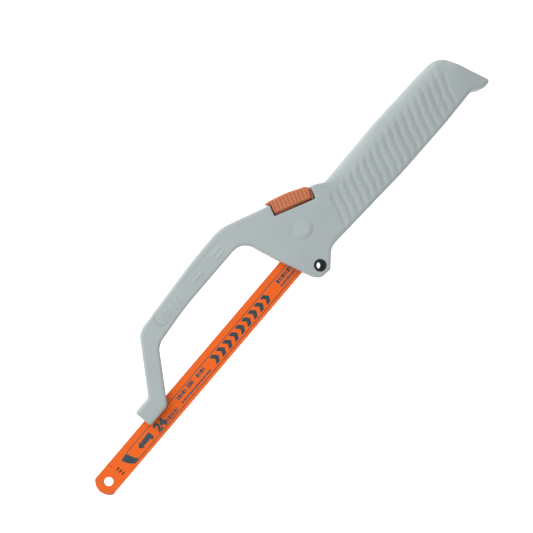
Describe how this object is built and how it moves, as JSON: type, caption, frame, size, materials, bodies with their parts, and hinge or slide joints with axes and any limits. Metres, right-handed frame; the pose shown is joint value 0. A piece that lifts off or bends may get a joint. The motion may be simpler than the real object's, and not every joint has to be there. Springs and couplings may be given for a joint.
{
  "type": "compact hacksaw",
  "caption": "Compact hacksaw: a bow-shaped front arm and moulded grip guide a standard 250 mm blade, held by a push-button cam lock.",
  "frame": {"origin": "on the right side's flat face, in the middle of the grip", "axes": "+X along the blade from the tip to the heel of the grip, +Y from the teeth to the back of the blade, +Z out of the left side"},
  "size_m": [0.3014, 0.0587, 0.02],
  "materials": {
    "shell": "fine moulded texture, pale grey-green",
    "blade_paint": "thin orange enamel with dark blue print",
    "button": "satin terracotta",
    "zinc_steel": "zinc plated",
    "hard_steel": "oiled",
    "eyelet": "nickel plated",
    "screw": "zinc plated"
  },
  "bodies": {
    "frame": {"left_shell": "shell", "right_shell": "shell", "blade_channel": "zinc_steel", "foot_guide": "zinc_steel", "lever_pin": "hard_steel", "button_pin": "hard_steel", "mouth_pin": "hard_steel", "lock_spring": "hard_steel", "hanging_eyelet": "eyelet", "shell_screw_1": "screw", "shell_screw_2": "screw", "shell_screw_3": "screw", "shell_screw_4": "screw", "shell_screw_5": "screw", "shell_screw_6": "screw", "shell_screw_7": "screw", "shell_screw_8": "screw", "shell_screw_9": "screw"},
    "blade": {"blade": "blade_paint"},
    "button": {"lock_button": "button"},
    "lever": {"cam_lever": "hard_steel"}
  },
  "joints": [
    {"name": "blade_slide", "type": "slide", "parent": "frame", "child": "blade", "axis": [1, 0, 0], "range_m": [-0.085, 0.022]},
    {"name": "button_press", "type": "hinge", "parent": "frame", "child": "button", "pos_m": [-0.049, 0.01845, 0.01], "axis": [0, 0, 1], "range_deg": [-2.6, 0], "stiffness_Nm_per_rad": 1.5, "springref_deg": 1.15},
    {"name": "lever_turn", "type": "hinge", "parent": "frame", "child": "lever", "pos_m": [-0.048, 0.0083, 0.01], "axis": [0, 0, 1], "range_deg": [-2.86, 0], "deforming": ["lock_spring"]}
  ],
  "couplings": [
    {"joint": "lever_turn", "follows": "button_press", "ratio": 1.1}
  ]
}
